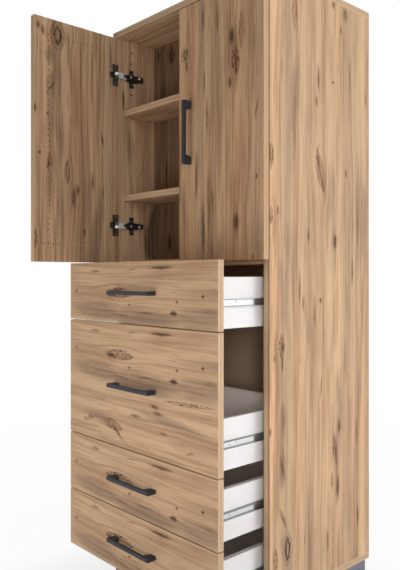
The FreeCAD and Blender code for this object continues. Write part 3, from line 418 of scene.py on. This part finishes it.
def woodBoard(node, spec):
    s = newMaterial("woodFoil." + node)
    grain, cross, edge, face, depth = boardPoint(s, node, spec)
    seed = spec["seed"] + face * wood["faceSeed"]
    colour, line, hair = woodColour(s, grain, cross, face, seed, spec)
    lowest, added = wood["edgeTone"]
    band = s.toned(wood["edge"], lowest + added * line)
    seam, width, strength = spec.get("seam", wood["seam"])
    band = s.mix(s.around(depth, seam, width + wood["seamSoft"], width) * strength, band, wood["red"])
    colour = s.mix(edge, colour, band)
    # a board's tint is painted shade: it darkens or warms boards that sit in shade
    colour = s.times(colour, (*spec.get("tint", (1, 1, 1)), 1))
    smoothest, rougher = wood["roughness"]
    relief = line * wood["lineRelief"] + hair * wood["hairRelief"]
    return s.finish(Base_Color=colour, Roughness=smoothest + rougher * hair,
                    Specular_IOR_Level=wood["specular"], Normal=s.bump(relief, wood["relief"]))


# Places along and across the grain, half lengths and half widths are in millimetres. A slope is
# how far a mark moves across the grain for each millimetre along it.
def mark(kind, along, across, length, width, strength, slope=0):
    return {"kind": kind, "at": (along, across), "size": (length, width), "strength": strength,
            "slope": slope}


frontMarks = [
    mark("streak", 404, 16, 46, 6, 0.85, -0.02),
    mark("streak", 126, 24, 24, 4, 0.7, 0.03),
    mark("streak", 31, 79, 6, 3.5, 1.1),
    mark("streak", 549, 84, 6, 4, 1.2),
    mark("streak", 461, 99, 5, 3.5, 1.0),
    mark("streak", 278, 112, 5, 3.5, 1.0),
    mark("knot", 236, 82, 62, 13, 0.95, 0.03),
    mark("streak", 197, 85, 22, 9, 0.9),
    mark("eye", 450, 127, 15, 6.5, 0.9),
    mark("cloud", 140, 136, 170, 40, 0.9, 0.06),
    mark("cloud", 330, 144, 220, 38, 0.95),
    mark("cloud", 540, 138, 130, 40, 0.9, 0.05),
    mark("cloud", 575, 122, 40, 16, 0.9, 0.1),
    mark("streak", 240, 140, 46, 3.5, 0.5, 0.05),
    mark("streak", 340, 131, 40, 3, 0.45, -0.1),
]
tallFrontMarks = [
    mark("knot", 500, 175, 90, 5, 0.8, -0.04),
    mark("streak", 378, 198, 20, 5.5, 0.9, 0.05),
    mark("streak", 390, 213, 22, 5, 0.9, 0.03),
    mark("streak", 303, 233, 22, 4, 0.8),
    mark("knot", 101, 269, 16, 6, 0.8),
    mark("knot", 81, 278, 12, 5, 0.7),
    mark("streak", 226, 288, 26, 6, 0.95, 0.75),
    mark("knot", 206, 272, 46, 14, 0.5, 0.12),
    mark("streak", 412, 259, 16, 3.5, 0.6),
    mark("streak", 505, 289, 16, 3, 0.6, -0.3),
    mark("cloud", 150, 262, 90, 20, 0.8, 0.1),
    mark("cloud", 420, 225, 180, 22, 0.7, 0.1),
]
closedDoorMarks = [
    mark("ring", 129, 25, 20, 11, 1.0),
    mark("streak", 162, 29, 16, 5, 0.8),
    mark("streak", 53, 92, 38, 5, 0.8),
    mark("streak", 126, 194, 24, 9, 1.0),
    mark("knot", 190, 207, 38, 13, 0.9, 0.06),
    mark("streak", 190, 207, 30, 5, 0.8, 0.06),
    mark("streak", 241, 188, 18, 6, 1.0),
    mark("knot", 117, 226, 50, 8, 0.5),
    mark("streak", 221, 97, 34, 3.5, 0.6),
    mark("streak", 307, 106, 56, 3.5, 0.6),
    mark("streak", 322, 275, 26, 3, 0.75, -0.18),
    mark("streak", 459, 67, 72, 4, 0.75),
    mark("streak", 534, 111, 92, 4, 0.7),
    mark("streak", 531, 127, 34, 3.5, 0.6),
    mark("streak", 606, 93, 84, 6, 0.9, 0.02),
    mark("streak", 593, 208, 26, 10, 1.1),
    mark("streak", 486, 275, 8, 4, 0.8),
    mark("streak", 681, 264, 8, 4, 0.8),
    mark("cloud", 66, 146, 60, 12, 0.9),
    mark("cloud", 180, 207, 110, 26, 0.8),
    mark("cloud", 590, 208, 70, 16, 0.7),
    mark("cloud", 300, 150, 300, 16, 0.6),
]
closedDoorBands = [(85, 18, 0.22), (130, 22, 0.14), (205, 30, -0.10), (284, 14, 0.16)]
openDoorMarks = [
    mark("ring", 42, 221, 34, 17, 1.0),
    mark("streak", 26, 284, 12, 5, 1.0),
    mark("streak", 36, 270, 16, 5, 0.9, -0.1),
    mark("cloud", 20, 236, 34, 14, 0.9),
    mark("cloud", 103, 248, 36, 22, 0.95),
    mark("cloud", 183, 242, 50, 22, 0.95),
    mark("streak", 193, 243, 20, 5, 0.7, 0.7),
    mark("streak", 258, 294, 14, 5, 0.9),
    mark("streak", 76, 185, 68, 3, 0.6),
    mark("streak", 118, 143, 118, 3, 0.6),
    mark("streak", 130, 103, 126, 3, 0.6),
    mark("streak", 90, 34, 90, 4, 0.6),
    mark("streak", 320, 64, 24, 4, 0.8, -0.2),
    mark("streak", 381, 279, 6, 5, 1.0),
    mark("knot", 402, 247, 24, 8, 1.0, 0.05),
    mark("knot", 427, 188, 38, 9, 0.8),
    mark("streak", 500, 167, 34, 6, 0.95, 0.03),
    mark("streak", 478, 152, 20, 5, 0.9, 0.03),
    mark("streak", 448, 99, 24, 4, 0.85),
    mark("streak", 480, 62, 20, 4, 0.5),
    mark("streak", 599, 128, 14, 4, 0.9),
    mark("knot", 622, 293, 30, 7, 0.8),
    mark("cloud", 470, 247, 90, 14, 0.6),
    mark("cloud", 600, 228, 60, 12, 0.5),
]
openDoorPins = [
    ("row", 46, 85, 202),
    ("row", 636, 218, 268),
    ("column", 252, 46, 640),
]
openDoorPalePins = [("row", 636, 102, 166)]
rightSideMarks = [
    mark("streak", 4, 264, 16, 6, 0.9),
    mark("ring", 20, 320, 18, 9, 0.8),
    mark("streak", 66, 300, 12, 4, 0.8),
    mark("knot", 60, 97, 60, 10, 0.5),
    mark("streak", 217, 197, 36, 5, 0.85),
    mark("streak", 277, 189, 14, 4, 0.9),
    mark("streak", 214, 262, 5, 4, 1.0),
    mark("streak", 223, 46, 34, 3, 0.5),
    mark("streak", 190, 341, 60, 4, 0.5),
    mark("streak", 230, 420, 30, 4, 0.6),
    mark("knot", 440, 5, 34, 9, 1.0),
    mark("knot", 583, 5, 24, 8, 1.0),
    mark("streak", 436, 198, 30, 5, 1.0, 0.15),
    mark("streak", 482, 212, 36, 5, 1.1, 0.3),
    mark("knot", 458, 206, 60, 18, 0.35, 0.28),
    mark("streak", 440, 3, 26, 4, 0.9),
    mark("streak", 590, 4, 20, 4, 0.8),
    mark("streak", 570, 30, 12, 4, 0.8),
    mark("streak", 627, 154, 20, 4, 0.8),
    mark("streak", 452, 323, 14, 4, 0.9),
    mark("streak", 637, 271, 24, 9, 1.0),
    mark("streak", 590, 379, 70, 4, 0.7),
    mark("streak", 762, 118, 44, 4, 0.7),
    mark("streak", 800, 132, 20, 4, 0.7),
    mark("streak", 834, 180, 36, 4, 0.7),
    mark("streak", 794, 206, 8, 5, 0.9),
    mark("streak", 715, 353, 44, 4, 0.8),
    mark("streak", 815, 405, 90, 4, 0.6),
    mark("knot", 903, 46, 32, 11, 1.0),
    mark("streak", 903, 46, 26, 5, 0.9),
    mark("streak", 945, 48, 24, 5, 0.7),
    mark("cloud", 1082, 49, 60, 18, 1.0),
    mark("streak", 1202, 49, 30, 6, 0.8, 0.25),
    mark("cloud", 1202, 49, 70, 18, 0.9),
    mark("streak", 1327, 52, 28, 6, 0.8, 0.5),
    mark("ring", 1404, 69, 36, 13, 1.0),
    mark("knot", 1424, 22, 34, 8, 1.0),
    mark("streak", 1020, 209, 30, 4, 0.6, -0.12),
    mark("streak", 1135, 290, 24, 7, 1.0),
    mark("knot", 1195, 272, 44, 10, 1.0, 0.15),
    mark("streak", 1200, 273, 36, 5, 0.9, 0.15),
    mark("streak", 1296, 284, 36, 7, 1.0),
    mark("knot", 1275, 258, 24, 6, 0.7),
    mark("streak", 1161, 375, 40, 4, 0.7),
    mark("streak", 1394, 380, 34, 5, 0.85),
    mark("streak", 1428, 238, 34, 4, 0.8),
    mark("streak", 1106, 2, 12, 4, 1.0),
    mark("streak", 931, 19, 10, 4, 0.9),
    mark("cloud", 650, 271, 120, 14, 0.6),
    mark("cloud", 1220, 280, 160, 18, 0.7),
    mark("cloud", 700, 95, 160, 18, 0.6),
]
rightSideBands = [(8, 26, -0.24), (66, 26, 0.19), (112, 16, -0.12), (148, 14, 0.06), (235, 16, -0.05),
                  (283, 16, -0.08), (318, 14, 0.10), (342, 16, 0.07), (375, 14, 0.10), (410, 16, -0.08),
                  (450, 14, -0.14)]
innerMarks = [
    mark("ring", 42, 84, 24, 13, 1.0),
    mark("streak", 30, 22, 20, 6, 0.9),
    mark("streak", 626, 75, 32, 8, 1.0),
    mark("streak", 400, 60, 60, 6, 0.6),
]
leftInnerMarks = [
    mark("streak", 186, 6, 42, 5, 1.0),
    mark("streak", 330, 30, 60, 5, 0.6),
    mark("streak", 34, 38, 4, 4, 1.0),
    mark("streak", 68, 38, 4, 4, 1.0),
    mark("streak", 165, 38, 4, 4, 1.0),
    # painted shade in the deep back of the lower compartment
    mark("shade", 620, 134, 130, 56, 0.8),
]


def board(along, over, face, seed, marks=(), **more):
    return {"along": along, "over": over, "face": face, "seed": seed, "marks": marks, **more}


boards = {
    "right_side_panel": board("-z", "+y", "+x", 1.0, rightSideMarks, bands=rightSideBands,
                              seam=(15.5, 2.5, 0.75), contrast=0.85),
    "left_side_panel": board("-z", "+y", "+x", 2.0, leftInnerMarks),
    "top_panel": board("+x", "+y", "+z", 3.0),
    "bottom_panel": board("+x", "+y", "+z", 4.0),
    "divider_panel": board("+x", "+y", "+z", 5.0),
    # the compartment's back is tinted dark: painted shade in the deep back of the compartment
    "compartment_back": board("-z", "+x", "-y", 12.0, innerMarks, tint=(0.38, 0.35, 0.33)),
    "upper_shelf": board("+x", "+y", "+z", 7.0),
    "lower_shelf": board("+x", "+y", "+z", 8.0),
    # the doors' tints are painted shade: the warmer cast that bounce light gives boards in shade
    "right_door": board("-z", "+x", "-y", 9.0, closedDoorMarks, bands=closedDoorBands,
                        tint=(1, 0.94, 0.89)),
    "left_door": board("-z", "-y", "+x", 10.0, openDoorMarks, bands=[(40, 14, 0.14)],
                       pin=openDoorPins, palePin=openDoorPalePins, tint=(1, 0.99, 0.97)),
}
for number in "1234":                         # all fronts carry the same print, the tall one more of it
    marks = frontMarks + tallFrontMarks if number == "2" else frontMarks
    boards["drawer_" + number + "_front"] = board("+x", "-z", "-y", 11.0, marks, contrast=0.7)
for node, spec in boards.items():
    nodes[node].material_slots[0].material = woodBoard(node, spec)
print("wood done")


# Tone and roughness are each a base, and what the fine noise and then the clouds add to it.
surfaces = {
    "foil": {"scale": 0.9, "detail": 3, "crisp": 0.6, "cloud": 0.01, "tone": (0.96, 0.04, 0.04),
             "roughness": (0.38, 0.1), "relief": 0.0001},
    "coat": {"scale": 1.8, "cloud": 0.03, "tone": (0.85, 0.2, 0.1), "roughness": (0.5, 0.15),
             "specular": 0.25, "relief": 0.0002},
    "metal": {"stretch": (1, 0.02, 1), "scale": 2.2, "detail": 3, "crisp": 0.6, "cloud": 0.05,
              "tone": (0.82, 0.2, 0.1), "roughness": (0.25, 0.2), "metallic": 1.0, "relief": 0.00005},
    "plastic": {"scale": 1.2, "tone": (0.92, 0.12), "roughness": (0.45, 0.1), "relief": 0.0001},
    "cup": {"scale": 0.5, "detail": 3, "roughness": (0.4, 0.15), "specular": 0.25, "relief": 0.0001},
    "arm": {"scale": 1.8, "roughness": (0.38, 0.15), "specular": 0.3, "relief": 0.0001},
    "link": {"stretch": (1, 0.02, 1), "scale": 2.2, "detail": 3, "crisp": 0.6,
             "roughness": (0.3, 0.2), "metallic": 0.3, "relief": 0.00005},
    "slide": {"stretch": (1, 0.03, 1), "scale": 1.6, "detail": 3, "crisp": 0.6,
              "roughness": (0.35, 0.2), "metallic": 0.3, "relief": 0.00005},
    "beech": {"stretch": (0.05, 1, 1), "scale": 1.4, "detail": 3, "roughness": (0.6, 0.1),
              "relief": 0.0002},
}


def fineNoise(s, place, look):
    stretched = s.vector("MULTIPLY", place, look.get("stretch", (1, 1, 1)))
    return s.noise(stretched, look["scale"], look.get("detail", 2), look.get("crisp", 0.5))


def finished(s, look, tone, fine):
    smoothest, rougher = look["roughness"]
    return s.finish(Base_Color=tone, Metallic=look.get("metallic", 0),
                    Roughness=smoothest + rougher * fine, Specular_IOR_Level=look.get("specular", 0.5),
                    Normal=s.bump(fine, look["relief"]))


def plainFinish(name, kind, colour, **more):
    look = {**surfaces[kind], **more}
    s = newMaterial(name)
    place = s.place()
    fine = fineNoise(s, place, look)
    tone = look["tone"][0] + look["tone"][1] * fine
    if "cloud" in look:
        tone = tone + look["tone"][2] * s.noise(place, look["cloud"])
    return finished(s, look, s.toned(colour, tone), fine)


# Spots and holes are given by their place along the piece, their height on it, length and width.
hinge = {
    "middle": 1309.5, "reach": 229.5,         # halfway between a door's hinges, and from there to each
    "cup": (paint(30, 28, 27), paint(84, 80, 72)),
    "rim": paint(168, 132, 100), "rimSoft": 0.4,          # wood brown, where the rim leaves the flange
    "arm": (paint(28, 26, 27), paint(52, 48, 48)), "bright": paint(226, 220, 216),
    "armSpots": [(-185.2, 1.4, 3.4, 3.0), (-152.9, 2.6, 4.2, 4.2)],
    # the plate spots are painted highlights: tall bright strips on the mounting plates
    "plateHighlights": [(-186.5, 19, 3.0, 8.0), (-186.5, -20, 3.0, 8.0)],
    "link": (paint(196, 198, 197), paint(222, 222, 220)),
    # painted highlight on the link beyond its fold, and painted shade below it
    "fold": (-228, -231), "foldHighlight": paint(250, 250, 248),
    "under": (1.5, -0.5), "underShade": paint(84, 90, 86),
}
slide = {
    "steel": (paint(200, 203, 203), paint(232, 234, 233)),
    # painted shade along the top and bottom, where a real slide's rolled edges turn away from the light
    "rolled": (6.6, 7.6), "rolledShade": paint(120, 122, 120), "rolledShadeShare": 0.8,
    # painted shade along the middle of each slide, where it runs back into the dark gap beside the
    # cabinet side
    "gapShade": [(-237, -226), (-90, -130)], "gapShadeTone": paint(46, 42, 36), "gapShadeShare": 0.85,
    "holes": [(-339.4, 1.9, 2.8, 2.8), (-294.6, 2.2, 1.4, 3.6), (-318, -1.5, 2.4, 1.6)],
    "holeTone": paint(70, 72, 72), "holeShare": 0.7,
}
beechTones = (paint(196, 158, 118), paint(222, 190, 150))
spotEdge = (1.1, 0.7)                         # where a spot ends, and where it is full


def spotAt(s, along, height, spot):
    middle, up, length, width = spot
    reach = (along - middle) * (1 / length)
    rise = (height - up) * (1 / width)
    return s.smooth(reach * reach + rise * rise, *spotEdge)


def hingePoint(s):                            # the point, its place along the hinge and its height
    place = s.place()
    height = abs(s.dot(place, axis("+z")) - hinge["middle"]) - hinge["reach"]
    return place, s.dot(place, axis("+y")), height


def cupCoat(name, away, edge):
    s = newMaterial(name)
    place = s.place()
    grit = fineNoise(s, place, surfaces["cup"])
    rim = s.smooth(s.dot(place, axis(away)), edge, edge + hinge["rimSoft"])
    tone = s.mix(rim, s.mix(grit, *hinge["cup"]), hinge["rim"])
    return finished(s, surfaces["cup"], tone, grit)


def armCoat(name, spots):                     # dark, with bright spots: screw heads on the arms, painted highlights on the plates
    s = newMaterial(name)
    place, along, height = hingePoint(s)
    grit = fineNoise(s, place, surfaces["arm"])
    tone = s.mix(grit, *hinge["arm"])
    for spot in spots:
        tone = s.mix(spotAt(s, along, height, spot), tone, hinge["bright"])
    return finished(s, surfaces["arm"], tone, grit)


def linkCoat(name):                           # a bright folded link, with a painted highlight beyond its fold and painted shade on the lower side of that part
    s = newMaterial(name)
    place, along, height = hingePoint(s)
    brush = fineNoise(s, place, surfaces["link"])
    fold = s.smooth(along, *hinge["fold"])
    under = fold * s.smooth(height, *hinge["under"])
    tone = s.mix(fold, s.mix(brush, *hinge["link"]), hinge["foldHighlight"])
    tone = s.mix(under, tone, hinge["underShade"])
    return finished(s, surfaces["link"], tone, brush)


def slideCoat(name, node):                    # bright steel with small holes, painted shade on its rolled edges, and painted shade where it runs back into the cabinet's gap
    s = newMaterial(name)
    place = s.place()
    low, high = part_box(node)
    height = s.dot(place, axis("+z")) - (low[2] + high[2]) / 2 * perMetre
    along = s.dot(place, axis("+y"))
    brush = fineNoise(s, place, surfaces["slide"])
    tone = s.mix(brush, *slide["steel"])
    rolled = s.smooth(abs(height), *slide["rolled"])
    tone = s.mix(rolled * slide["rolledShadeShare"], tone, slide["rolledShade"])
    front, back = slide["gapShade"]
    shadedInGap = s.smooth(along, *front) * s.smooth(along, *back)
    tone = s.mix(shadedInGap * slide["gapShadeShare"], tone, slide["gapShadeTone"])
    for spot in slide["holes"]:
        hole = spotAt(s, along, height, spot) * slide["holeShare"]
        tone = s.mix(hole, tone, slide["holeTone"])
    return finished(s, surfaces["slide"], tone, brush)


def beechWood(name):
    s = newMaterial(name)
    grain = fineNoise(s, s.place(), surfaces["beech"])
    return finished(s, surfaces["beech"], s.mix(grain, *beechTones), grain)


finishes = {                                  # by the slot that a node comes with
    "white_board": plainFinish("whiteFoil", "foil", paint(233, 231, 231)),
    "taupe_board": plainFinish("taupeFoil", "foil", paint(250, 242, 237)),
    "beech_dowel": beechWood("beech"),
    "anthracite_metal": plainFinish("anthraciteCoat", "coat", paint(49, 51, 57)),
    "leg_paint": plainFinish("legCoat", "coat", paint(118, 121, 128)),
    "zinc_steel": plainFinish("brightZinc", "metal", paint(222, 224, 226)),
    "hinge_steel": plainFinish("nickel", "metal", paint(222, 223, 222), metallic=0.4),
    "dark_hinge": plainFinish("darkCoat", "coat", paint(38, 38, 39), roughness=(0.38, 0.15)),
    "cage_plastic": plainFinish("cagePlastic", "plastic", paint(215, 216, 216)),
    "glide_plastic": plainFinish("glidePlastic", "plastic", paint(48, 48, 48)),
}
bronze = plainFinish("bronze", "metal", paint(128, 98, 70), metallic=0.3)
ownFinishes = {                               # by node
    "back_panel": plainFinish("backFoil", "foil", paint(196, 168, 144)),
    "left_door_screws": bronze,
    "right_door_screws": bronze,
    "left_door_hinge_cups": cupCoat("leftCups", "-y", 248),
    "right_door_hinge_cups": cupCoat("rightCups", "-x", -272),
    "hinge_arms": armCoat("armCoat", hinge["armSpots"]),
    "hinge_plates": armCoat("plateCoat", hinge["plateHighlights"]),
    "left_hinge_links": linkCoat("linkCoat"),
}
for number in "1234":
    node = "drawer_" + number + "_rails"
    ownFinishes[node] = slideCoat("slide" + number, node)
for node, piece in nodes.items():
    finish = ownFinishes.get(node) or finishes.get(piece.material_slots[0].material.name)
    if finish:
        piece.material_slots[0].material = finish
print("finishes done")


easing = {"board": 0.0007, "handle": 0.0006, "frame": 0.0008, "steps": 2, "angle": 0.6, "weld": 1e-5}


def ease(node, width):                        # rounds the sharp edges a little
    piece = nodes[node]
    weld = piece.modifiers.new("weld", "WELD")
    weld.merge_threshold = easing["weld"]
    bevel = piece.modifiers.new("ease", "BEVEL")
    bevel.width = width
    bevel.segments = easing["steps"]
    bevel.limit_method = "ANGLE"
    bevel.angle_limit = easing["angle"]


for node in boards:
    ease(node, easing["board"])
for node in nodes:
    if node.endswith("_handle"):
        ease(node, easing["handle"])
    if node.endswith("_frame"):
        ease(node, easing["frame"])
print("edges eased")


studio = {
    "camera": (1.29207, -1.41696, 0.9290), "turn": 49.476, "lens": 40.49, "shift": (0.0778, -0.0178),
    "ambient": 0.12,
    "lamps": {
        "key": {"place": (3.4, 1.75, 1.3), "aim": (0.2, 0.0, 0.85), "size": 2.2, "power": 70},
        "frontFill": {"place": (-0.35, -1.6, 0.4), "aim": (0, -0.3, 0.6), "size": 0.8, "power": 6.5},
        "rightFill": {"place": (2.6, -1.75, 1.4), "aim": (0, -0.2, 1.0), "size": 2.0, "power": 32},
        "backFill": {"place": (-2.8, 1.9, 2.1), "aim": (0, 0, 0.85), "size": 2.0, "power": 46},
        "drawerBeam": {"place": (2.0, -2.2, 1.0), "aim": (0.05, -0.1, 0.6), "size": 0.6,
                       "power": 0.24, "spread": 10},
    },
    "floorReach": 8.0, "floorTone": paint(250, 250, 250),
    "shadow": [(0.0, 0.75), (0.3, 0.955), (3.0, 1.0)],    # how white the floor looks, by distance
}


def lamp(name, spec):
    data = bpy.data.lights.new(name, "AREA")
    data.shape = "SQUARE"
    data.size = spec["size"]
    data.energy = spec["power"]
    data.spread = math.radians(spec.get("spread", 180))
    light = bpy.data.objects.new(name, data)
    light.location = spec["place"]
    light.visible_camera = False
    aim = Vector(spec["aim"]) - Vector(spec["place"])
    light.rotation_euler = aim.to_track_quat("-Z", "Y").to_euler()
    bpy.context.scene.collection.objects.link(light)


def seenDirectly(s):                          # 1 where the camera, a reflection or glass sees it
    camera, gloss, glass = [s.add("ShaderNodeLightPath", output=name) for name in
                            ("Is Camera Ray", "Is Glossy Ray", "Is Transmission Ray")]
    return camera.highest(gloss).highest(glass)


def makeWorld():
    bpy.context.scene.world = bpy.data.worlds.new("studio")
    s = Shader(bpy.context.scene.world)
    ambient = s.add("ShaderNodeBackground", None, {"Color": white, "Strength": studio["ambient"]})
    backdrop = s.add("ShaderNodeBackground", None, {"Color": white, "Strength": 1.0})
    mixed = s.add("ShaderNodeMixShader", None, {0: seenDirectly(s), 1: ambient, 2: backdrop})
    s.add("ShaderNodeOutputWorld", None, {"Surface": mixed})


def makeFloor():
    mesh = bpy.data.meshes.new("floor")
    reach = studio["floorReach"]
    corners = [(-reach, -reach, 0), (reach, -reach, 0), (reach, reach, 0), (-reach, reach, 0)]
    mesh.from_pydata(corners, [], [(0, 1, 2, 3)])
    floor = bpy.data.objects.new("floor", mesh)
    bpy.context.scene.collection.objects.link(floor)
    s = newMaterial("floor")
    low, high = Vector(cadBox[0]), Vector(cadBox[1])
    offset = s.vector("SUBTRACT", s.add("ShaderNodeTexCoord", output="Object"), (low + high) / 2)
    outside = s.vector("SUBTRACT", s.vector("ABSOLUTE", offset), (high - low) / 2)
    outside = s.vector("MULTIPLY", s.vector("MAXIMUM", outside, (0, 0, 0)), (1, 1, 0))
    away = s.vector("LENGTH", outside, output="Value")
    (start, under), (middle, near), (end, far) = studio["shadow"]
    bright = under + (near - under) * s.smooth(away, start, middle)
    bright = bright + (far - near) * s.smooth(away, middle, end)
    pale = s.add("ShaderNodeBsdfDiffuse", None, {"Color": studio["floorTone"]})
    glow = s.add("ShaderNodeEmission", None, {"Color": white, "Strength": 1.0})
    surface = s.add("ShaderNodeMixShader", None, {0: bright * seenDirectly(s), 1: pale, 2: glow})
    s.add("ShaderNodeOutputMaterial", None, {"Surface": surface})
    mesh.materials.append(s.owner)


def makeCamera():
    data = bpy.data.cameras.new("camera")
    data.lens = studio["lens"]
    data.shift_x, data.shift_y = studio["shift"]
    camera = bpy.data.objects.new("camera", data)
    camera.location = studio["camera"]
    camera.rotation_euler = (math.radians(90), 0, math.radians(studio["turn"]))
    bpy.context.scene.collection.objects.link(camera)
    bpy.context.scene.camera = camera


for name, spec in studio["lamps"].items():
    lamp(name, spec)
makeWorld()
makeFloor()
makeCamera()
bpy.context.scene.view_settings.view_transform = "Standard"
print("studio done")
